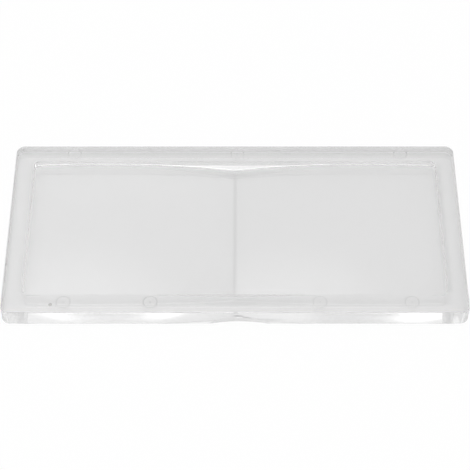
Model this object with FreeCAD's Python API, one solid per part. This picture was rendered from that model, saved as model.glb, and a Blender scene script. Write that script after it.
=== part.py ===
import FreeCAD, Part
import math
import os

# Magnifying lens plate for a welding helmet.
#
# One clear injection moulding. A flat rim runs round a window, and in the window two convex lens
# fields lie side by side, one for each eye. They meet in a valley on the middle line. The back is
# flat. The plate lies on its back with the lens fields up: X runs along the plate, Y runs across
# it from the gated edge, Z runs up through it. The origin is the centre of the flat back.
# Lengths are in millimetres.

# Plate and rim
plate_length = 107.95  # 4 1/4 inches, the usual size of a helmet's lens pocket
plate_height = 50.8  # 2 inches
plate_thickness = 4.5
plate_corner_radius = 2.0
front_edge_round = 0.3
back_edge_round = 0.1  # where the mould parts
short_side_rim_width = 4.7
long_side_rim_width = 5.2

# Window, the recess inside the rim
window_corner_radius = 1.2
wall_draft_degrees = 5.0
wall_top_round = 0.3
wall_foot_round = 0.4

# Lens fields
lens_power_dioptres = 2.5
refractive_index = 1.586  # of polycarbonate
eye_spacing = 64.0  # between the two optical centres
apex_below_rim = 0.1  # keeps the lens fields off a surface that the rim is laid on
valley_round = 2.5

# Witness marks of the ejector pins, on the rim
ejector_mark_diameter = 3.2
ejector_mark_depth = 0.1
left_mark_inset = 14.4  # insets run from the plate's edge to the marks' centres
right_mark_inset = 13.2
gated_mark_inset = 3.0
far_mark_inset = 2.5
inner_mark_spacing = 39.1  # between the two middle marks of the gated edge

# Gate, where the plastic entered the mould and was trimmed off
gate_offset = 1.0  # from the middle line
scoop_width = 14.2
scoop_height = 3.0
scoop_depth = 0.7  # at the back face
stub_width = 3.0
stub_height = 0.7
stub_level = 2.4  # of its middle, above the back
stub_setback = 0.05  # inside the plate's outline, so that it doesn't rub

# Sizes that follow from those above
half_length = plate_length / 2
half_height = plate_height / 2
window_length = plate_length - 2 * short_side_rim_width
window_height = plate_height - 2 * long_side_rim_width
lens_radius = 1000.0 * (refractive_index - 1) / lens_power_dioptres
apex_level = plate_thickness - apex_below_rim

overshoot = 1.0  # how far a cutting solid runs past the face that it opens
tolerance = 1e-4  # how near two places count as the same


def rounded_rectangle(length, height, radius, level):
    """Return a closed wire: a rectangle with round corners, centred on the Z axis."""
    reach = math.sqrt(0.5) * radius
    corners = []
    for sign_x, sign_y in ((1, -1), (1, 1), (-1, 1), (-1, -1)):
        centre_x = sign_x * (length / 2 - radius)
        centre_y = sign_y * (height / 2 - radius)
        on_long_side = FreeCAD.Vector(centre_x, sign_y * height / 2, level)
        on_short_side = FreeCAD.Vector(sign_x * length / 2, centre_y, level)
        middle = FreeCAD.Vector(centre_x + sign_x * reach, centre_y + sign_y * reach, level)
        if sign_x * sign_y < 0:
            corners.append((on_long_side, middle, on_short_side))
        else:
            corners.append((on_short_side, middle, on_long_side))
    edges = []
    for corner, following in zip(corners, corners[1:] + corners[:1]):
        edges.append(Part.Arc(*corner).toShape())
        edges.append(Part.LineSegment(corner[2], following[0]).toShape())
    return Part.Wire(edges)


def plate_blank():
    """Return the plate before the window is sunk, with its edges softened, least at the back."""
    outline = rounded_rectangle(plate_length, plate_height, plate_corner_radius, 0)
    blank = Part.Face(outline).extrude(FreeCAD.Vector(0, 0, plate_thickness))
    for level, edge_round in ((plate_thickness, front_edge_round), (0.0, back_edge_round)):
        around = []
        for edge in blank.Edges:
            box = edge.BoundBox
            if box.ZMin > level - tolerance and box.ZMax < level + tolerance:
                around.append(edge)
        blank = blank.makeFillet(edge_round, around)
    return blank


def lens_field(side):
    """Return half a block under one spherical surface: side is -1 for left and 1 for right."""
    # The sphere is turned so that its seam lies underneath, away from the surface that is used
    ball = Part.makeSphere(lens_radius, FreeCAD.Vector(0, 0, 0), FreeCAD.Vector(0, 1, 0))
    ball.rotate(FreeCAD.Vector(0, 0, 0), FreeCAD.Vector(0, 1, 0), 180)
    ball.translate(FreeCAD.Vector(side * eye_spacing / 2, 0, apex_level - lens_radius))
    block_length = half_length + overshoot
    block_height = plate_height + 2 * overshoot
    start_x = 0 if side > 0 else -block_length
    start = FreeCAD.Vector(start_x, -block_height / 2, -overshoot)
    block = Part.makeBox(block_length, block_height, plate_thickness + 2 * overshoot, start)
    return ball.common(block)


def lens_block():
    """Return a block under both lens fields, with the valley between them softened."""
    block = lens_field(-1).fuse(lens_field(1)).removeSplitter()
    valley = []
    for edge in block.Edges:
        on_middle_line = edge.BoundBox.XLength < tolerance and abs(edge.BoundBox.Center.x) < tolerance
        if on_middle_line and isinstance(edge.Curve, Part.Circle):
            valley.append(edge)
    return block.makeFillet(valley_round, valley)


def foot_edges(pocket):
    """Return the edges where the pocket's walls meet the lens fields or the valley."""
    edges = []
    for edge in pocket.Edges:
        faces = pocket.ancestorsOfType(edge, Part.Face)
        curved = [face for face in faces if isinstance(face.Surface, (Part.Sphere, Part.BSplineSurface))]
        if len(curved) == 1:
            edges.append(edge)
    return edges


def window_pocket():
    """Return what is sunk into the blank: drafted walls that end on the lens fields."""
    lean = math.tan(math.radians(wall_draft_degrees))
    outlines = []
    for level in (plate_thickness + overshoot, 0.0):
        grow = (level - plate_thickness) * lean
        outlines.append(
            rounded_rectangle(
                window_length + 2 * grow,
                window_height + 2 * grow,
                window_corner_radius + grow,
                level,
            )
        )
    pocket = Part.makeLoft(outlines, True, True).cut(lens_block())
    return pocket.makeFillet(wall_foot_round, foot_edges(pocket))


def soften_mouth(plate):
    """Round the edge between the rim and the window's walls."""
    rim = next(face for face in plate.Faces if face.BoundBox.ZMin > plate_thickness - tolerance)
    mouth = next(wire for wire in rim.Wires if not wire.isSame(rim.OuterWire))
    return plate.makeFillet(wall_top_round, mouth.Edges)


def ejector_marks():
    """Return the shallow round sinks: four on the gated rim and three on the rim opposite."""
    left = left_mark_inset - half_length
    right = half_length - right_mark_inset
    inner = inner_mark_spacing / 2
    places = [(x, gated_mark_inset - half_height) for x in (left, -inner, inner, right)]
    places += [(x, half_height - far_mark_inset) for x in (left, (left + right) / 2, right)]
    marks = []
    for x, y in places:
        floor = FreeCAD.Vector(x, y, plate_thickness - ejector_mark_depth)
        marks.append(Part.makeCylinder(ejector_mark_diameter / 2, overshoot, floor))
    return marks


def gate_scoop():
    """Return the slanting hollow in the gated edge: deepest at the back, gone at its top."""
    half_width = scoop_width / 2
    radius = (half_width**2 + scoop_depth**2) / (2 * scoop_depth)
    slant = math.degrees(math.atan2(scoop_depth, scoop_height))
    length = plate_thickness + 4 * overshoot
    scoop = Part.makeCylinder(radius, length, FreeCAD.Vector(0, -radius, -length / 2))
    scoop.rotate(FreeCAD.Vector(0, 0, 0), FreeCAD.Vector(1, 0, 0), slant)
    scoop.translate(FreeCAD.Vector(gate_offset, -half_height + scoop_depth, 0))
    return scoop


def gate_stub():
    """Return the trimmed gate: a small block in the scoop, inside the plate's outline."""
    corner = FreeCAD.Vector(
        gate_offset - stub_width / 2,
        -half_height + stub_setback,
        stub_level - stub_height / 2,
    )
    return Part.makeBox(stub_width, scoop_depth + overshoot, stub_height, corner)


def lens_plate():
    """Return the whole moulding."""
    plate = soften_mouth(plate_blank().cut(window_pocket()))
    for mark in ejector_marks():
        plate = plate.cut(mark)
    return plate.cut(gate_scoop()).fuse(gate_stub()).removeSplitter()


def main():
    """Write the plate to parts/ and print its size."""
    os.makedirs("parts", exist_ok=True)
    plate = lens_plate()
    plate.exportStep("parts/lens_plate.step")
    box = plate.optimalBoundingBox(False)
    print("lens_plate valid", plate.isValid(), "solids", len(plate.Solids))
    print("volume", round(plate.Volume, 2), "centre", plate.Solids[0].CenterOfMass)
    print("box", round(box.XLength, 4), round(box.YLength, 4), round(box.ZLength, 4))


main()
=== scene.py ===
"""A clear magnifying lens plate for a welding helmet, lying flat in a white studio.

The plate is one injection moulding of polycarbonate: a flat rim round a window, and in the window
two convex lens fields that meet in a valley on the middle line. Its back is flat. The scene puts a
finely meshed plate in the place of the CAD solid, dresses it, and lights it.
"""

import logging
import math
from dataclasses import dataclass
from enum import Enum

import bpy
import numpy as np
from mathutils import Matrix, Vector


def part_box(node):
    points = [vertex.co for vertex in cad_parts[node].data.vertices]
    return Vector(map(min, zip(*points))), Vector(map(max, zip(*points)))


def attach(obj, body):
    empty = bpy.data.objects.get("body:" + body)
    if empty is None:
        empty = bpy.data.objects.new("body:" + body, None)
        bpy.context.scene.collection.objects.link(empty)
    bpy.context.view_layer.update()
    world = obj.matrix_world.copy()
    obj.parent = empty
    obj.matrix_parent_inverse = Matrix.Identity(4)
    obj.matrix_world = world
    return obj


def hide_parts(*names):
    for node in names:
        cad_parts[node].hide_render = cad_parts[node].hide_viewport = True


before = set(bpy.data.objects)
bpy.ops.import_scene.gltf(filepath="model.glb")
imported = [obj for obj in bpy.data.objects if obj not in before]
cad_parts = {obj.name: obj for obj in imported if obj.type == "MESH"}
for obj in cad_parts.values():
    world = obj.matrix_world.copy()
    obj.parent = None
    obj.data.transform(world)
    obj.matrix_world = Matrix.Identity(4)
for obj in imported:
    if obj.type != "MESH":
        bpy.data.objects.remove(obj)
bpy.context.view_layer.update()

MM = 0.001
NODE = "lens_plate"
# The mesh attribute that holds each point's painted shade
SHADE = "shade"
ROUNDING = 1e-6  # the share of a step that is too small to add a grid line
WELD_DIGITS = 4  # the decimals of a millimetre to which points count as the same

log = logging.getLogger("lens_plate_scene")

SocketValue = bpy.types.NodeSocket | float | tuple[float, ...]


class Side(Enum):
    """The plate's sides, by the direction in X and Y that each faces."""

    RIGHT = (1.0, 0.0)
    FAR = (0.0, 1.0)
    LEFT = (-1.0, 0.0)
    GATED = (0.0, -1.0)


def linear(hex_colour: str) -> tuple[float, float, float, float]:
    """Turn an sRGB hex colour into a linear one with an alpha of 1.

    Each channel below 0.04045 is divided by 12.92. Above it, 0.055 is added, the sum is divided by
    1.055 and raised to the power 2.4.

    Args:
        hex_colour: six hex digits after a hash, such as "#f4f4f4".

    Returns:
        Red, green, blue and alpha.
    """
    channels = [int(hex_colour[i : i + 2], 16) / 255 for i in (1, 3, 5)]
    red, green, blue = (c / 12.92 if c < 0.04045 else ((c + 0.055) / 1.055) ** 2.4 for c in channels)
    return red, green, blue, 1.0


def sky_direction(elevation: float, azimuth: float) -> Vector:
    """Point at a place in the sky, with both angles in radians and the azimuth from +X to +Y."""
    flat = math.cos(elevation)
    return Vector((flat * math.cos(azimuth), flat * math.sin(azimuth), math.sin(elevation)))


def add_node(
    tree: bpy.types.NodeTree,
    kind: str,
    inputs: dict[str | int, SocketValue] | None = None,
    **settings: object,
) -> bpy.types.Node:
    """Add a node with its settings and links.

    Args:
        tree: the node tree that gets it.
        kind: the node's type, such as "ShaderNodeEmission".
        inputs: for an input socket's name or number, the socket to link from or a constant.
        settings: the node's own properties.

    Returns:
        The new node.
    """
    node = tree.nodes.new(kind)
    for name, value in settings.items():
        setattr(node, name, value)
    for name, value in (inputs or {}).items():
        if isinstance(value, bpy.types.NodeSocket):
            tree.links.new(value, node.inputs[name])
        else:
            node.inputs[name].default_value = value
    return node


def new_material(name: str) -> tuple[bpy.types.Material, bpy.types.NodeTree]:
    """Make a material with an empty node tree.

    Args:
        name: the material's name.

    Returns:
        The material and its tree.
    """
    material = bpy.data.materials.new(name)
    material.use_nodes = True
    material.node_tree.nodes.clear()
    return material, material.node_tree


def graded_lines(ends: tuple[float, float], coarse: float, features: list[tuple]) -> np.ndarray:
    """Work out grid lines that are coarse in plain stretches and fine across each feature.

    The ends of all features divide the span. Each division is split evenly, by the finest step of
    the features that cover its middle.

    Args:
        ends: the first and last line.
        coarse: the widest spacing, where there is no feature.
        features: for each, where it starts, where it stops, and the spacing in it.

    Returns:
        The lines in rising order, with one on each end of each feature.
    """
    breaks = {ends[0], ends[1]}
    for start, stop, _ in features:
        breaks.update((start, stop))
    breaks = sorted(b for b in breaks if ends[0] <= b <= ends[1])
    lines = [np.array(breaks[:1])]
    for start, stop in zip(breaks, breaks[1:]):
        middle = (start + stop) / 2
        steps = [step for low, high, step in features if low < middle < high]
        count = max(1, math.ceil((stop - start) / min(steps + [coarse]) - ROUNDING))
        lines.append(np.linspace(start, stop, count + 1)[1:])
    return np.concatenate(lines)


def rounded_corner(start: np.ndarray, corner: np.ndarray, end: np.ndarray, steps: int) -> np.ndarray:
    """Carry a profile round a corner along a circular arc.

    A rational quadratic curve from start to end, pulled to the corner. With equal legs and a weight
    of the cosine of half the turn it is exactly a circle's arc, tangent to both legs.

    Args:
        start: points where the arc leaves the first leg, one for each place on the path.
        corner: the sharp corner's points.
        end: points where the arc meets the second leg.
        steps: how many stretches the arc has.

    Returns:
        An array of steps + 1 rings of points, start and end included.
    """
    first = corner - start
    second = end - corner
    lengths = np.linalg.norm(first, axis=1) * np.linalg.norm(second, axis=1)
    turn = np.clip((first * second).sum(axis=1) / lengths, -1, 1)
    weight = np.sqrt((1 + turn) / 2)[None, :, None]
    t = np.linspace(0, 1, steps + 1)[:, None, None]
    top = (1 - t) ** 2 * start + 2 * weight * t * (1 - t) * corner + t**2 * end
    return top / ((1 - t) ** 2 + 2 * weight * t * (1 - t) + t**2)


class MeshSheets:
    """Collects grids of points and turns them into one closed mesh."""

    def __init__(self) -> None:
        """Start with no points and no faces."""
        self.points: list[np.ndarray] = []
        self.shades: list[np.ndarray] = []
        self.faces: list[np.ndarray] = []
        self.count = 0

    def add(
        self,
        grid: np.ndarray,
        closed: bool = False,
        flip: bool = False,
        keep: np.ndarray | None = None,
        shade: np.ndarray | float = 0.0,
    ) -> None:
        """Add a grid of points as a sheet of four-sided faces.

        Face (i, j) has the corners (i, j), (i + 1, j), (i + 1, j + 1) and (i, j + 1).

        Args:
            grid: points, as rows by columns by 3.
            closed: whether the last column joins the first.
            flip: whether the faces look the other way.
            keep: for each face, whether it is made.
            shade: how much each point is greyed by painted shade, from 0 to 1.
        """
        rows, columns = grid.shape[:2]
        numbers = self.count + np.arange(rows * columns).reshape(rows, columns)
        if closed:
            numbers = np.concatenate([numbers, numbers[:, :1]], axis=1)
        corners = [numbers[:-1, :-1], numbers[1:, :-1], numbers[1:, 1:], numbers[:-1, 1:]]
        faces = np.stack(corners[::-1] if flip else corners, axis=-1)
        faces = faces[keep] if keep is not None else faces.reshape(-1, 4)
        self.points.append(grid.reshape(-1, 3))
        self.shades.append(np.broadcast_to(shade, (rows, columns)).reshape(-1))
        self.faces.append(faces)
        self.count += rows * columns

    def build(self, name: str, scale: float) -> bpy.types.Object:
        """Weld the sheets along their seams and return them as one smooth-shaded object.

        Points on the same spot, to a ten-thousandth of a unit, become one. A face that loses a
        corner that way becomes a triangle. Each point's normal is the sum of the normals of its
        faces, weighted by their area, so wide flat faces stay flat beside narrow rounds.

        Args:
            name: the object's name.
            scale: what one unit of the grids is in metres.

        Returns:
            The object, linked to the scene.
        """
        points = np.concatenate(self.points)
        shades = np.concatenate(self.shades)
        faces = np.concatenate(self.faces)
        spots = np.round(points, WELD_DIGITS)
        _, first, same = np.unique(spots, axis=0, return_index=True, return_inverse=True)
        points = points[first]
        faces = same.reshape(-1)[faces]
        repeats = faces == np.roll(faces, -1, axis=1)
        quads = faces[repeats.sum(axis=1) == 0]
        narrow = faces[repeats.sum(axis=1) == 1]
        triangles = narrow[~repeats[repeats.sum(axis=1) == 1]].reshape(-1, 3)
        used, faces = np.unique(np.concatenate([quads.ravel(), triangles.ravel()]), return_inverse=True)
        points = points[used]
        shades = shades[first][used]
        quads = faces[: quads.size].reshape(-1, 4)
        triangles = faces[quads.size :].reshape(-1, 3)

        corners = [points[quads[:, number]] for number in range(4)]
        quad_normals = np.cross(corners[2] - corners[0], corners[3] - corners[1])
        corners = [points[triangles[:, number]] for number in range(3)]
        triangle_normals = np.cross(corners[1] - corners[0], corners[2] - corners[0])
        normals = np.zeros_like(points)
        for corner in range(4):
            np.add.at(normals, quads[:, corner], quad_normals)
        for corner in range(3):
            np.add.at(normals, triangles[:, corner], triangle_normals)
        normals /= np.linalg.norm(normals, axis=1, keepdims=True)

        mesh = bpy.data.meshes.new(name)
        mesh.from_pydata((points * scale).tolist(), [], quads.tolist() + triangles.tolist())
        mesh.polygons.foreach_set("use_smooth", np.ones(len(mesh.polygons), dtype=bool))
        mesh.normals_split_custom_set_from_vertices(normals.tolist())
        mesh.attributes.new(SHADE, "FLOAT", "POINT").data.foreach_set("value", shades)
        mesh.validate(clean_customdata=False)
        piece = bpy.data.objects.new(name, mesh)
        bpy.context.scene.collection.objects.link(piece)
        return piece


@dataclass(frozen=True)
class WearAndShadeSpot:
    """A soft-edged greyed spot shaped like an ellipsoid. Most lie over worn plastic; one is painted
    shade.

    Lengths are in millimetres. A grey above 1 widens the fully grey middle. The tilt, in radians,
    turns the spot about Y, with its right end going down where it is above zero.
    """

    place: tuple[float, float, float]
    half: tuple[float, float, float]
    grey: float
    tilt: float = 0.0


@dataclass(frozen=True)
class ClearPolycarbonate:
    """Optical polycarbonate, injection moulded in a polished mould: colourless, smooth and glossy.

    The high refractive index bends the floor and the room into bright wedges and thin lines along
    Where the mesh's shade or a spot asks for it, the surface is greyed: painted shade along
    edges, rounds, marks and the valley, and grey over worn plastic at some spots.
    """

    body: str = "#f6f6f6"
    # The grey mixed in where the surface is greyed: painted shade, and grey over worn plastic
    greyed: str = "#b4b4b4"
    refractive_index: float = 1.586
    roughness: float = 0.05
    spot_core: float = 0.3
    speck: str = "#bcbab8"
    speck_roughness: float = 0.7
    speck_radius: float = 0.5 * MM

    def greying(
        self, tree: bpy.types.NodeTree, place: bpy.types.NodeSocket, spots: tuple[WearAndShadeSpot, ...]
    ) -> bpy.types.NodeSocket:
        """Add nodes for how grey the surface is: the mesh's painted shade, or a spot's if more.

        Args:
            tree: the material's tree.
            place: a socket that gives the place on the piece.
            spots: where the surface is greyed, over worn plastic and as painted shade.

        Returns:
            A socket that gives 0 where the surface is clear and 1 or more where it is fully grey.
        """
        shade = add_node(tree, "ShaderNodeAttribute", attribute_name=SHADE)
        grey = shade.outputs["Fac"]
        for spot in spots:
            local = add_node(
                tree,
                "ShaderNodeMapping",
                {
                    "Vector": place,
                    "Location": tuple(v * MM for v in spot.place),
                    "Rotation": (0.0, spot.tilt, 0.0),
                    "Scale": tuple(v * MM for v in spot.half),
                },
                vector_type="TEXTURE",
            )
            distance = add_node(tree, "ShaderNodeVectorMath", {0: local.outputs[0]}, operation="LENGTH")
            level = add_node(
                tree,
                "ShaderNodeMapRange",
                {"Value": distance.outputs["Value"], 1: 1.0, 2: self.spot_core, 3: 0.0, 4: spot.grey},
                interpolation_type="SMOOTHSTEP",
            )
            more = add_node(tree, "ShaderNodeMath", {0: grey, 1: level.outputs[0]}, operation="MAXIMUM")
            grey = more.outputs[0]
        return grey

    def build(self, speck_place: Vector, spots: tuple[WearAndShadeSpot, ...]) -> bpy.types.Material:
        """Make the material.

        Args:
            speck_place: where a grain of dark dirt sits in the surface, in metres.
            spots: where the surface is greyed, over worn plastic and as painted shade.

        Returns:
            The material.
        """
        material, tree = new_material("moulded_polycarbonate")
        place = add_node(tree, "ShaderNodeTexCoord")
        distance = add_node(
            tree,
            "ShaderNodeVectorMath",
            {0: place.outputs["Object"], 1: tuple(speck_place)},
            operation="DISTANCE",
        )
        in_speck = add_node(
            tree,
            "ShaderNodeMapRange",
            {
                "Value": distance.outputs["Value"],
                1: self.speck_radius,
                2: self.speck_radius / 2,
                3: 0.0,
                4: 1.0,
            },
            interpolation_type="SMOOTHSTEP",
        )
        colour = add_node(
            tree,
            "ShaderNodeMix",
            {
                0: self.greying(tree, place.outputs["Object"], spots),
                6: linear(self.body),
                7: linear(self.greyed),
            },
            data_type="RGBA",
        )
        clear = add_node(
            tree,
            "ShaderNodeBsdfPrincipled",
            {
                "Base Color": colour.outputs[2],
                "Roughness": self.roughness,
                "IOR": self.refractive_index,
                "Transmission Weight": 1.0,
            },
        )
        dirt = add_node(
            tree,
            "ShaderNodeBsdfPrincipled",
            {"Base Color": linear(self.speck), "Roughness": self.speck_roughness},
        )
        surface = add_node(
            tree,
            "ShaderNodeMixShader",
            {0: in_speck.outputs[0], 1: clear.outputs[0], 2: dirt.outputs[0]},
        )
        add_node(tree, "ShaderNodeOutputMaterial", {"Surface": surface.outputs[0]})
        return material


@dataclass
class LensPlate:
    """The whole moulding. Sizes are in millimetres, and the overall ones come from the frame.

    A shade is how grey the surface is, from 0 to 1. The shades are painted shade: grey lines
    along edges, rounds, marks and the valley, standing in for the dark lines that light bent by
    the clear plate draws there. A plain white studio gives a clear plate hardly any of them by
    itself.
    """

    low: Vector
    high: Vector

    # Plate and rim
    corner_radius: float = 2.0
    edge_round: float = 0.3
    back_edge_round: float = 0.1
    side_rim: float = 4.7
    long_rim: float = 5.2

    # Window, the recess inside the rim
    window_radius: float = 1.2
    draft: float = math.radians(5.0)
    mouth_round: float = 0.3
    foot_round: float = 0.4

    # Lens fields, with the power in dioptres
    power: float = 2.5
    refractive_index: float = 1.586
    eye_spacing: float = 64.0
    apex_below_rim: float = 0.1
    valley_round: float = 2.5

    # Painted shade along the valley, the edges, the rim beside the window, and the window's rounds
    valley_shade: float = 0.22
    valley_shade_half: float = 0.75
    left_edge_shade: float = 0.5
    right_edge_shade: float = 0.2
    far_edge_shade: float = 0.18
    left_edge_reach: float = 0.65
    right_edge_reach: float = 1.4
    far_edge_reach: float = 1.6
    left_rim_shade: float = 0.14
    right_rim_shade: float = 0.28
    rim_shade_reach: float = 0.7
    rim_shade_setback: float = 0.6
    left_window_shade: float = 0.03
    right_window_shade: float = 0.04
    far_window_shade: float = 0.18
    round_shade_ends: tuple[float, float] = (0.15, 0.85)

    # Ejector marks: painted shade greys the step ring by ring, with a small grey spot in the middle
    mark_radius: float = 1.6
    mark_depth: float = 0.1
    mark_step: float = 0.3
    mark_foot: float = 0.12
    mark_step_greys: tuple[float, ...] = (0.5, 0.8, 1.0, 1.0, 1.0, 0.8, 0.5)
    mark_spot_radii: tuple[float, float] = (0.4, 0.15)
    mark_spot_grey: float = 0.7
    mark_shades: tuple[float, ...] = (0.35, 0.5, 0.22, 0.3, 0.25, 0.22, 0.3)
    left_mark_inset: float = 14.4
    right_mark_inset: float = 13.2
    inner_mark_spacing: float = 39.1
    gated_mark_inset: float = 3.0
    far_mark_inset: float = 2.5
    mark_margin: float = 0.25

    # Gate: a slanting scoop with the torn plastic at its top
    gate_offset: float = 1.0
    scoop_width: float = 14.2
    scoop_height: float = 3.0
    scoop_depth: float = 0.7
    scoop_margin: float = 0.2
    scoop_reach: float = 1.5
    torn_width: float = 3.0
    torn_height: float = 0.8
    torn_level: float = 2.4
    torn_relief: float = 0.09
    torn_waves: tuple[tuple[float, float, float], ...] = (
        (7.1, 9.7, 0.4),
        (-13.3, 17.9, 1.9),
        (23.9, 11.3, 4.2),
        (-31.7, 29.1, 2.8),
    )
    torn_divisor: float = 2.5
    torn_clearance: float = 0.1

    # Grain of dark dirt, which the photograph shows on the gated rim near its left mark
    speck_x: float = -42.47
    speck_y: float = -23.2

    # Spacing of the mesh, and how many stretches an arc has
    coarse: float = 1.0
    scoop_step: float = 0.36
    torn_step: float = 0.1
    valley_shade_step: float = 0.1
    valley_divisions: int = 5
    mark_divisions: int = 12
    edge_step: float = 0.6
    scoop_rise_step: float = 0.25
    torn_rise_step: float = 0.08
    round_steps: int = 7
    back_round_steps: int = 5
    corner_steps: tuple[int, int, int] = (4, 8, 4)
    lens_band_shares: tuple[float, ...] = (0.0, 0.3, 0.65)
    back_band_shares: tuple[float, ...] = (0.6, 0.25, 0.0)
    foot_aims: int = 8

    def __post_init__(self) -> None:
        """Work out the sizes that follow from the others."""
        self.half_length = (self.high.x - self.low.x) / MM / 2
        self.half_height = (self.high.y - self.low.y) / MM / 2
        self.thickness = (self.high.z - self.low.z) / MM
        self.window_x = self.half_length - self.side_rim
        self.window_y = self.half_height - self.long_rim
        self.core_x = self.window_x - self.window_radius
        self.core_y = self.window_y - self.window_radius
        self.lens_radius = 1000.0 * (self.refractive_index - 1) / self.power
        self.apex = self.thickness - self.apex_below_rim
        half_spacing = self.eye_spacing / 2
        self.valley_half = half_spacing * self.valley_round / (self.lens_radius + self.valley_round)
        self.mark_square = self.mark_radius + self.mark_margin

    def lens_height(self, x: np.ndarray, y: np.ndarray) -> np.ndarray:
        """Give the height of the lens fields over a place in the window.

        Each field is a sphere: its apex height, less the radius, plus the square root of the
        radius squared less the squared distance from the optical axis. Across the middle line a
        hollow circular arc, tangent to both spheres, takes the place of the sharp valley.

        Args:
            x: places along the plate.
            y: places across it.

        Returns:
            The heights above the back.
        """
        away = np.maximum(np.abs(x), self.valley_half) - self.eye_spacing / 2
        sphere = self.apex - self.lens_radius + np.sqrt(self.lens_radius**2 - away**2 - y**2)
        near = np.minimum(np.abs(x), self.valley_half)
        square = self.valley_round**2
        arc = np.sqrt(square - near**2) - math.sqrt(square - self.valley_half**2)
        return sphere - arc

    def mark_places(self) -> list[tuple[float, float]]:
        """Say where the ejector pins pushed.

        Returns:
            The marks' centres: four on the gated rim and three on the rim opposite.
        """
        left = self.left_mark_inset - self.half_length
        right = self.half_length - self.right_mark_inset
        inner = self.inner_mark_spacing / 2
        gated_y = self.gated_mark_inset - self.half_height
        far_y = self.half_height - self.far_mark_inset
        gated = [(x, gated_y) for x in (left, -inner, inner, right)]
        return gated + [(x, far_y) for x in (left, (left + right) / 2, right)]

    def lengthwise_lines(self) -> np.ndarray:
        """Space the grid lines along the plate: fine at the valley, the marks and the gate.

        Returns:
            Their places along the plate, in rising order.
        """
        fine = self.mark_square * 2 / self.mark_divisions
        stretches = [(x, self.mark_square, fine) for x, _ in self.mark_places()]
        stretches.append((0.0, self.valley_half, self.valley_half / self.valley_divisions))
        stretches.append((0.0, self.valley_shade_half, self.valley_shade_step))
        stretches.append((self.gate_offset, self.scoop_width / 2, self.scoop_step))
        stretches.append((self.gate_offset, self.torn_width / 2, self.torn_step))
        features = [
            (round(middle - half, WELD_DIGITS), round(middle + half, WELD_DIGITS), step)
            for middle, half, step in stretches
        ]
        return graded_lines((-self.core_x, self.core_x), self.coarse, features)

    def corner_angles(self) -> np.ndarray:
        """Fan out the directions in which a corner's points lie from the core's corner.

        The outer corner's arc starts and ends on one of them each.

        Returns:
            The directions in radians, between those of the two sides.
        """
        along = self.half_length - self.core_x
        across = self.half_height - self.core_y
        arc_start = math.atan2(across - self.corner_radius, along)
        arc_end = math.atan2(across, along - self.corner_radius)
        stops = (0.0, arc_start, arc_end, math.pi / 2)
        parts = [
            np.linspace(start, stop, steps, endpoint=False)
            for start, stop, steps in zip(stops, stops[1:], self.corner_steps)
        ]
        return np.concatenate(parts)[1:]

    def paths(self) -> dict[str, np.ndarray]:
        """Lay out the closed paths that every ring of the plate is an offset of.

        All have the same number of points, anticlockwise from the right side's lower end: the core
        is the rectangle between the centres of the window's corner arcs, the window's mouth lies
        at the corner radius from it, and the outer path is the plate's outline. Where a ray from
        the core's corner meets the outline, it meets either a straight side or the corner's arc.

        Returns:
            The points of "core", "mouth" and "outer", and the outward normals "mouth_out" and
            "outer_out".
        """
        x_lines = self.lengthwise_lines()
        y_lines = graded_lines((-self.core_y, self.core_y), self.coarse, [])
        angle = self.corner_angles()
        ray = np.stack([np.cos(angle), np.sin(angle)], axis=1)
        along = self.half_length - self.core_x
        across = self.half_height - self.core_y
        centre = np.array([along - self.corner_radius, across - self.corner_radius])
        inward = ray @ centre
        to_arc = inward + np.sqrt(np.maximum(inward**2 - centre @ centre + self.corner_radius**2, 0))
        on_side = along * np.tan(angle) <= centre[1]
        on_top = across / np.tan(angle) <= centre[0]
        reach = np.where(on_side, along / ray[:, 0], np.where(on_top, across / ray[:, 1], to_arc))
        corner = ray * reach[:, None]
        out = (corner - centre) / self.corner_radius
        out = np.where(on_side[:, None], [1.0, 0.0], np.where(on_top[:, None], [0.0, 1.0], out))

        runs = (
            (Side.RIGHT, y_lines),
            (Side.FAR, x_lines[::-1]),
            (Side.LEFT, y_lines[::-1]),
            (Side.GATED, x_lines),
        )
        stretches = []
        for (side, lines), (following, _) in zip(runs, runs[1:] + runs[:1]):
            normal = np.array(side.value)
            direction = np.broadcast_to(normal, (len(lines), 2))
            along_side = lines[:, None] * np.abs(normal[::-1])
            on_core = along_side + normal * (self.core_x, self.core_y)
            on_outline = along_side + normal * (self.half_length, self.half_height)
            stretches.append((on_core, direction, on_outline, direction))
            sign = normal + following.value
            order = slice(None) if sign.prod() > 0 else slice(None, None, -1)
            core_corner = np.broadcast_to(sign * (self.core_x, self.core_y), corner.shape)
            outer_corner = core_corner + (corner * sign)[order]
            stretches.append((core_corner, (ray * sign)[order], outer_corner, (out * sign)[order]))
        core, mouth_out, outer, outer_out = (np.concatenate(parts) for parts in zip(*stretches))
        return {
            "core": core,
            "mouth": core + self.window_radius * mouth_out,
            "mouth_out": mouth_out,
            "outer": outer,
            "outer_out": outer_out,
        }

    def rings(self, paths: dict[str, np.ndarray]) -> tuple[np.ndarray, np.ndarray, tuple[int, int]]:
        """Carry the plate's section round its paths, from the window's core over the rim to the back.

        From the core the section follows the lens surface to the foot of the wall, turns up a
        round, climbs the drafted wall, turns over a round on to the rim, runs flat, and goes over
        the outer round, down the edge and round under it to the flat back.

        Args:
            paths: what paths() returns.

        Returns:
            The rings as rings by points by 3, the painted shade of each point that lies on the
            window's rounds, and the numbers of the first and last flat rim ring.
        """
        top = self.thickness
        lean = math.tan(self.draft)
        mouth, mouth_out = paths["mouth"], paths["mouth_out"]

        def window_ring(grow: np.ndarray | float, height: np.ndarray | float) -> np.ndarray:
            """Offset a ring outward from the mouth by grow, at a height."""
            grow = np.broadcast_to(grow, len(mouth))
            flat = mouth + grow[:, None] * mouth_out
            return np.column_stack([flat, np.broadcast_to(height, len(mouth))])

        def outer_ring(inset: float, height: float) -> np.ndarray:
            """Offset a ring inward from the outline by inset, at a height."""
            flat = paths["outer"] - inset * paths["outer_out"]
            return np.column_stack([flat, np.full(len(flat), height)])

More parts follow.
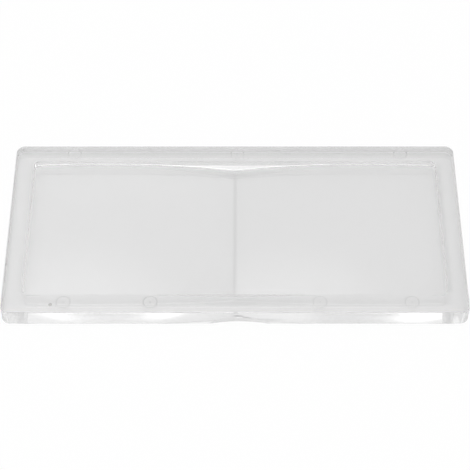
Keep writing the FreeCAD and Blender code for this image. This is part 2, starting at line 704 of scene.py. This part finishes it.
        # The foot is where the leaning wall reaches the lens surface, found by repeated aiming
        foot_height = np.full(len(mouth), self.apex)
        for _ in range(self.foot_aims):
            foot = window_ring((foot_height - top) * lean, foot_height)
            foot_height = self.lens_height(foot[:, 0], foot[:, 1])
        foot_grow = (foot_height - top) * lean
        foot = window_ring(foot_grow, foot_height)
        leg = self.foot_round
        rise = leg * math.cos(self.draft)
        on_wall = window_ring(foot_grow + leg * math.sin(self.draft), foot_height + rise)
        on_lens = window_ring(foot_grow - leg, 0.0)
        on_lens[:, 2] = self.lens_height(on_lens[:, 0], on_lens[:, 1])
        foot_arc = rounded_corner(on_lens, foot, on_wall, self.round_steps)

        shares = np.array(self.lens_band_shares)[:, None, None]
        core_flat = paths["core"]
        between = core_flat + shares * (on_lens[:, :2] - core_flat)
        heights = self.lens_height(between[..., 0], between[..., 1])
        lens_band = np.concatenate([between, heights[..., None]], axis=-1)

        leg = self.mouth_round * math.tan((math.pi / 2 - self.draft) / 2)
        below_mouth = window_ring(-leg * math.sin(self.draft), top - leg * math.cos(self.draft))
        rim_start = window_ring(leg, top)
        mouth_arc = rounded_corner(below_mouth, window_ring(0.0, top), rim_start, self.round_steps)

        rim_end = outer_ring(self.edge_round, top)
        flat_width = self.long_rim - leg - self.edge_round
        half = self.mark_square
        gated_square, far_square = (
            np.linspace(middle - half, middle + half, self.mark_divisions + 1)[:, None, None]
            for middle in (
                self.long_rim - leg - self.gated_mark_inset,
                self.long_rim - leg - self.far_mark_inset,
            )
        )
        gated_side = np.clip(0.5 - mouth[:, 1] / self.core_y, 0, 1)[:, None]
        square_lines = gated_square * gated_side + far_square * (1 - gated_side)
        rim = rim_start + square_lines / flat_width * (rim_end - rim_start)

        edge = self.edge_round
        below_top = outer_ring(0.0, top - edge)
        top_arc = rounded_corner(rim_end, outer_ring(0.0, top), below_top, self.round_steps)
        torn_low = self.torn_level - self.torn_height / 2
        torn_high = self.torn_level + self.torn_height / 2
        back_edge = self.back_edge_round
        features = [
            (back_edge, self.scoop_height + self.scoop_margin, self.scoop_rise_step),
            (torn_low, torn_high, self.torn_rise_step),
        ]
        levels = graded_lines((back_edge, top - edge), self.edge_step, features)[::-1][1:-1]
        wall = np.stack([outer_ring(0.0, level) for level in levels])
        above_back = outer_ring(0.0, back_edge)
        back_start = outer_ring(back_edge, 0.0)
        under_arc = rounded_corner(above_back, outer_ring(0.0, 0.0), back_start, self.back_round_steps)
        shares = np.array(self.back_band_shares)[:, None, None]
        back_flat = core_flat + shares * (under_arc[-1][:, :2] - core_flat)
        back = np.concatenate([back_flat, np.zeros(back_flat.shape[:2] + (1,))], axis=-1)

        sections = [lens_band, foot_arc, mouth_arc, rim, top_arc, wall, under_arc, back]
        rim_first = sum(len(section) for section in sections[:3])
        rings = np.concatenate(sections)
        # Painted shade on the window's mouth and foot rounds, for the dark lines that light bent by
        # them gives
        across_round = np.sin(math.pi * np.linspace(*self.round_shade_ends, len(foot_arc)))
        on_round = np.zeros(len(rings))
        on_round[len(lens_band) : rim_first] = np.tile(across_round, 2)
        side_shade = (
            self.left_window_shade * np.maximum(-mouth_out[:, 0], 0) ** 2
            + self.right_window_shade * np.maximum(mouth_out[:, 0], 0) ** 2
            + self.far_window_shade * np.maximum(mouth_out[:, 1], 0) ** 2
        )
        return rings, on_round[:, None] * side_shade, (rim_first, rim_first + len(rim) - 1)

    def cut_gate(self, points: np.ndarray) -> np.ndarray:
        """Sink the slanting scoop into the gated edge and roughen the torn gate at its top.

        The scoop's depth falls evenly from the back up to its height, and drops away from its
        middle as a circle's arc does. A point outside it moves to its surface. The tear pushes
        points inward by its relief times one plus a share of a sum of four sine waves. It fades
        out as the square root of (1 - u^2)(1 - v^2), where u and v run from -1 to 1 across it.

        Args:
            points: points of the plate, with the last axis being x, y and z.

        Returns:
            The points after the cut.
        """
        x, y, z = np.moveaxis(points, -1, 0)
        half = self.scoop_width / 2
        radius = (half**2 + self.scoop_depth**2) / (2 * self.scoop_depth)
        across = np.clip(x - self.gate_offset, -half * self.scoop_reach, half * self.scoop_reach)
        sag = radius - np.sqrt(radius**2 - across**2)
        floor = -self.half_height + self.scoop_depth * (1 - z / self.scoop_height) - sag
        cut = np.where(y < floor, floor, y)

        u = (x - self.gate_offset) / (self.torn_width / 2)
        v = (z - self.torn_level) / (self.torn_height / 2)
        fade = np.maximum(1 - u**2, 0) * np.maximum(1 - v**2, 0)
        waves = sum(np.sin(along * x + up * z + start) for along, up, start in self.torn_waves)
        tear = self.torn_relief * np.sqrt(fade) * (1.0 + waves / self.torn_divisor)
        on_edge = y < -self.half_height + self.scoop_depth + self.torn_clearance
        cut = np.where(on_edge, cut + np.maximum(tear, 0), cut)
        return np.stack([x, cut, z], axis=-1)

    def edge_shade(self, points: np.ndarray) -> np.ndarray:
        """Work out the painted shade on the edges and on the rim beside the window.

        Each is a soft band: the greyness at a distance d from its middle line is that on the line
        times exp(-(d / reach)^2). A band beside the window ends where the window's corners start.

        Args:
            points: points of the plate, with the last axis being x, y and z.

        Returns:
            A value from 0 to 1 for each point.
        """
        x, y, z = np.moveaxis(points, -1, 0)
        past_corner = np.maximum(np.abs(y) - self.core_y, 0)
        beside = self.window_x + self.rim_shade_setback
        bands = (
            (self.left_edge_shade, x + self.half_length, self.left_edge_reach),
            (self.right_edge_shade, x - self.half_length, self.right_edge_reach),
            (self.far_edge_shade, y - self.half_height, self.far_edge_reach),
            (self.left_rim_shade, np.hypot(x + beside, past_corner), self.rim_shade_reach),
            (self.right_rim_shade, np.hypot(x - beside, past_corner), self.rim_shade_reach),
        )
        shade = np.zeros_like(x)
        for most, away, reach in bands:
            shade = np.maximum(shade, most * np.exp(-((away / reach) ** 2)))
        return np.where(z > self.back_edge_round, shade, 0.0)

    def mark_patch(
        self, border: np.ndarray, centre: tuple[float, float]
    ) -> tuple[np.ndarray, np.ndarray]:
        """Fill a square in the rim with the round sink of an ejector pin.

        Each point of the border is carried straight to the centre. The height falls from the rim
        to the sink's floor along half a cosine wave, as wide as the step and centred on the edge.

        Args:
            border: the square's points, clockwise seen from above.
            centre: the sink's centre.

        Returns:
            The patch as rings by points by 3, from the border to the centre, and for each ring its
            share of the mark's greyness: painted shade on the step, and a grey spot at the pin's
            centre.
        """
        start = border[:, :2] - centre
        ray = start / np.linalg.norm(start, axis=1, keepdims=True)
        step = self.mark_step
        edge = self.mark_radius + step / 2
        step_radii = np.linspace(edge, edge - step, len(self.mark_step_greys))
        floor_radii = [edge - step - self.mark_foot, self.mark_radius / 2, *self.mark_spot_radii, 0.0]
        radii = np.concatenate([step_radii, floor_radii])
        floor_greys = [0.0, 0.0, 0.0, self.mark_spot_grey, self.mark_spot_grey]
        shades = np.array([0.0, *self.mark_step_greys, *floor_greys])
        share = np.clip((edge - radii) / step, 0, 1)
        heights = self.thickness - self.mark_depth * (1 - np.cos(math.pi * share)) / 2
        flat = np.array(centre) + radii[:, None, None] * ray
        tall = np.broadcast_to(heights[:, None, None], flat.shape[:2] + (1,))
        patch = np.concatenate([border[None], np.concatenate([flat, tall], axis=-1)])
        return patch, shades[:, None]

    def build(self) -> bpy.types.Object:
        """Make the plate's mesh as one closed piece.

        Returns:
            The piece, at the origin, without its material.
        """
        sheets = MeshSheets()
        paths = self.paths()
        rings, round_shade, (first, last) = self.rings(paths)
        middle = (rings[:-1] + np.roll(rings, -1, axis=1)[1:]) / 2
        keep = np.ones(middle.shape[:2], dtype=bool)
        on_rim = np.zeros_like(keep)
        on_rim[first:last] = True
        for centre, mark_shade in zip(self.mark_places(), self.mark_shades):
            inside = (np.abs(middle[..., :2] - centre) < self.mark_square).all(axis=-1) & on_rim
            keep &= ~inside
            column = np.flatnonzero(inside.any(axis=0))
            start, stop = column[0], column[-1] + 1
            border = np.concatenate(
                [
                    rings[first, start:stop],
                    rings[first:last, stop],
                    rings[last, stop:start:-1],
                    rings[last:first:-1, start],
                ]
            )
            patch, shade = self.mark_patch(border, centre)
            # Painted shade on the mark's step, and the grey spot at its centre, scaled for each mark
            sheets.add(patch, closed=True, shade=shade * mark_shade)
        # Painted shade: the edge and rim bands stand in for the darker floor seen near the walls, the
        # rounds' band for their dark lines
        shade = np.maximum(self.edge_shade(rings), round_shade)
        sheets.add(self.cut_gate(rings), closed=True, keep=keep, shade=shade)

        x_lines = self.lengthwise_lines()
        y_lines = graded_lines((-self.core_y, self.core_y), self.coarse, [])
        x, y = np.meshgrid(x_lines, y_lines, indexing="ij")
        # Painted shade along the valley, standing in for the dark line under the hollow, which spreads
        # light apart
        shade = self.valley_shade * np.maximum(1 - (x / self.valley_shade_half) ** 2, 0) ** 2
        sheets.add(np.stack([x, y, self.lens_height(x, y)], axis=-1), shade=shade)
        sheets.add(np.stack([x, y, np.zeros_like(x)], axis=-1), flip=True)
        return sheets.build("clear_lens_plate", MM)

    def wear_and_shade_spots(self) -> tuple[WearAndShadeSpot, ...]:
        """List the greyed spots, over worn plastic and as painted shade.

        Returns:
            Four greyed spots over the torn gate and its trail, two over pits in the near edge, one over
            a nick in the left edge, and painted shade that darkens the far left corner.
        """
        front = -self.half_height
        left = -self.half_length
        far_left_corner = (left + 1.6, self.half_height - 1.5, 4.5)
        return (
            WearAndShadeSpot(place=(0.8, front, 3.0), half=(1.7, 1.5, 0.7), grey=1.3, tilt=0.1),
            WearAndShadeSpot(place=(2.7, front, 2.35), half=(1.9, 1.5, 0.5), grey=1.3, tilt=0.25),
            WearAndShadeSpot(place=(7.6, front, 1.7), half=(5.5, 1.5, 0.4), grey=0.6, tilt=0.04),
            WearAndShadeSpot(place=(0.1, front, 4.3), half=(0.8, 0.6, 0.5), grey=0.55),
            WearAndShadeSpot(place=(-13.4, front, 4.45), half=(0.3, 0.4, 0.4), grey=0.7),
            WearAndShadeSpot(place=(-12.3, front, 4.45), half=(0.3, 0.4, 0.4), grey=0.7),
            WearAndShadeSpot(place=(left + 0.3, -11.5, 4.4), half=(0.5, 0.85, 0.6), grey=0.95),
            # Painted shade: the far left corner is darkened
            WearAndShadeSpot(place=far_left_corner, half=(1.3, 0.8, 0.6), grey=0.5),
        )

    def dress(self, piece: bpy.types.Object) -> None:
        """Give the plate its finish and tie it to the frame.

        Args:
            piece: the plate's object.
        """
        speck_place = Vector((self.speck_x, self.speck_y, self.thickness)) * MM
        finish = ClearPolycarbonate()
        piece.data.materials.append(finish.build(speck_place, self.wear_and_shade_spots()))
        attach(piece, "root")
        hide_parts(NODE)


def seen_by_camera(tree: bpy.types.NodeTree) -> bpy.types.NodeSocket:
    """Add a node that gives 1 to the camera's own rays and 0 to all others."""
    return add_node(tree, "ShaderNodeLightPath").outputs["Is Camera Ray"]


@dataclass(frozen=True)
class PaperSweep:
    """Matt white paper, rolled out: even and without gloss.

    The camera sees it nearly pure white. Through the plate it shows its own tone with painted
    shade: darker to the right, standing in for light falling off there. The falloff's half is in
    metres from the middle.
    """

    lit: str = "#f2f2f2"
    less_lit: str = "#eeeeee"
    falloff_half: float = 0.05
    glow: float = 0.97

    def build(self) -> bpy.types.Material:
        """Make the material.

        The paper's colour goes from the one to the other in proportion to X, a painted falloff of
        light. To the camera, a share of plain white light takes the paper's place.

        Returns:
            The material.
        """
        material, tree = new_material("white_paper_sweep")
        place = add_node(tree, "ShaderNodeTexCoord")
        axes = add_node(tree, "ShaderNodeSeparateXYZ", {0: place.outputs["Object"]})
        # Painted shade: the paper darkens towards +X, for light falling off there
        falloff = add_node(
            tree,
            "ShaderNodeMapRange",
            {"Value": axes.outputs["X"], 1: -self.falloff_half, 2: self.falloff_half, 3: 0.0, 4: 1.0},
        )
        colour = add_node(
            tree,
            "ShaderNodeMix",
            {0: falloff.outputs[0], 6: linear(self.lit), 7: linear(self.less_lit)},
            data_type="RGBA",
        )
        paper = add_node(tree, "ShaderNodeBsdfDiffuse", {"Color": colour.outputs[2]})
        glow = add_node(tree, "ShaderNodeEmission", {"Color": linear("#ffffff"), "Strength": 1.0})
        share = add_node(
            tree,
            "ShaderNodeMath",
            {0: seen_by_camera(tree), 1: self.glow},
            operation="MULTIPLY",
        )
        surface = add_node(
            tree,
            "ShaderNodeMixShader",
            {0: share.outputs[0], 1: paper.outputs[0], 2: glow.outputs[0]},
        )
        add_node(tree, "ShaderNodeOutputMaterial", {"Surface": surface.outputs[0]})
        return material


@dataclass
class Studio:
    """The white floor, the pale surroundings that light it, and the camera. Lengths are in metres.

    The surroundings' strength in a direction is sky_level, plus the direction's share of sky_lean,
    plus that of the bright patch. The camera aims at a point aim_y from the middle line, level
    with the plate's top. Its focal length is in millimetres, for a sensor 36 mm wide.
    """

    floor_half: float = 3.0
    floor_drop: float = 0.05 * MM
    sky_level: float = 0.645
    sky_lean: tuple[float, float, float] = (0.05, 0.08, 0.39)
    patch_elevation: float = math.radians(72.0)
    patch_azimuth: float = math.radians(120.0)
    patch_radius: float = math.radians(22.0)
    patch_level: float = 1.2
    aim_y: float = -2.76 * MM
    distance: float = 0.3965
    elevation: float = math.radians(51.6)
    focal_length: float = 127.9
    clear_bounces: int = 64
    paper_bounces: int = 4

    def build_floor(self) -> None:
        """Lay the floor just under the plate."""
        size = self.floor_half
        corners = [(-size, -size), (size, -size), (size, size), (-size, size)]
        mesh = bpy.data.meshes.new("studio_floor")
        mesh.from_pydata([(x, y, -self.floor_drop) for x, y in corners], [], [(0, 1, 2, 3)])
        floor = bpy.data.objects.new("studio_floor", mesh)
        bpy.context.scene.collection.objects.link(floor)
        floor.data.materials.append(PaperSweep().build())

    def build_world(self) -> None:
        """Surround the plate with a pale room that the camera sees as white.

        Only the camera's own rays see white, on the floor as well, because a clear plate shows no
        form in surroundings that are equally white on every side.

        The lean's share is its dot product with the direction. The patch lies high up behind the
        plate, and fades smoothly to its rim with the cosine of the angle from its middle.
        """
        world = bpy.data.worlds.new("pale_studio")
        world.use_nodes = True
        tree = world.node_tree
        tree.nodes.clear()
        direction = add_node(tree, "ShaderNodeTexCoord")
        towards = add_node(
            tree,
            "ShaderNodeVectorMath",
            {0: direction.outputs["Generated"], 1: self.sky_lean},
            operation="DOT_PRODUCT",
        )
        patch_direction = tuple(sky_direction(self.patch_elevation, self.patch_azimuth))
        nearness = add_node(
            tree,
            "ShaderNodeVectorMath",
            {0: direction.outputs["Generated"], 1: patch_direction},
            operation="DOT_PRODUCT",
        )
        patch = add_node(
            tree,
            "ShaderNodeMapRange",
            {
                "Value": nearness.outputs["Value"],
                1: math.cos(self.patch_radius),
                2: 1.0,
                3: 0.0,
                4: self.patch_level,
            },
            interpolation_type="SMOOTHSTEP",
        )
        lean = add_node(
            tree,
            "ShaderNodeMath",
            {0: towards.outputs["Value"], 1: self.sky_level},
            operation="ADD",
        )
        level = add_node(
            tree,
            "ShaderNodeMath",
            {0: lean.outputs[0], 1: patch.outputs[0]},
            operation="ADD",
        )
        room = add_node(
            tree,
            "ShaderNodeBackground",
            {"Color": linear("#ffffff"), "Strength": level.outputs[0]},
        )
        white = add_node(tree, "ShaderNodeBackground", {"Color": linear("#ffffff"), "Strength": 1.0})
        surface = add_node(
            tree,
            "ShaderNodeMixShader",
            {0: seen_by_camera(tree), 1: room.outputs[0], 2: white.outputs[0]},
        )
        add_node(tree, "ShaderNodeOutputWorld", {"Surface": surface.outputs[0]})
        bpy.context.scene.world = world

    def build_camera(self, plate_top: float) -> None:
        """Set up the camera in front of the plate, looking down on it.

        Args:
            plate_top: the height of the plate's top.
        """
        data = bpy.data.cameras.new("camera")
        data.sensor_width = 36.0
        data.lens = self.focal_length
        data.clip_start = 0.01
        data.clip_end = 50.0
        camera = bpy.data.objects.new("camera", data)
        target = Vector((0.0, self.aim_y, plate_top))
        back = Vector((0.0, -math.cos(self.elevation), math.sin(self.elevation)))
        camera.location = target + back * self.distance
        camera.rotation_euler = back.to_track_quat("Z", "Y").to_euler()
        bpy.context.scene.collection.objects.link(camera)
        bpy.context.scene.camera = camera

    def build(self, plate_top: float) -> None:
        """Build the floor, the surroundings and the camera, and set how light is traced.

        Args:
            plate_top: the height of the plate's top.
        """
        self.build_floor()
        self.build_world()
        self.build_camera(plate_top)
        scene = bpy.context.scene
        scene.view_settings.view_transform = "Standard"
        scene.cycles.max_bounces = self.clear_bounces
        scene.cycles.transmission_bounces = self.clear_bounces
        scene.cycles.glossy_bounces = self.clear_bounces
        scene.cycles.diffuse_bounces = self.paper_bounces
        scene.cycles.blur_glossy = 0.0


def main() -> None:
    """Build the plate and the studio in order, and log each piece."""
    logging.basicConfig(level=logging.INFO, format="%(message)s")
    low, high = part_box(NODE)
    plate = LensPlate(low, high)
    piece = plate.build()
    plate.dress(piece)
    log.info("%s: %d points, %d faces", piece.name, len(piece.data.vertices), len(piece.data.polygons))
    Studio().build(high.z)
    log.info("studio: floor, surroundings and camera")


if __name__ == "__main__":
    main()
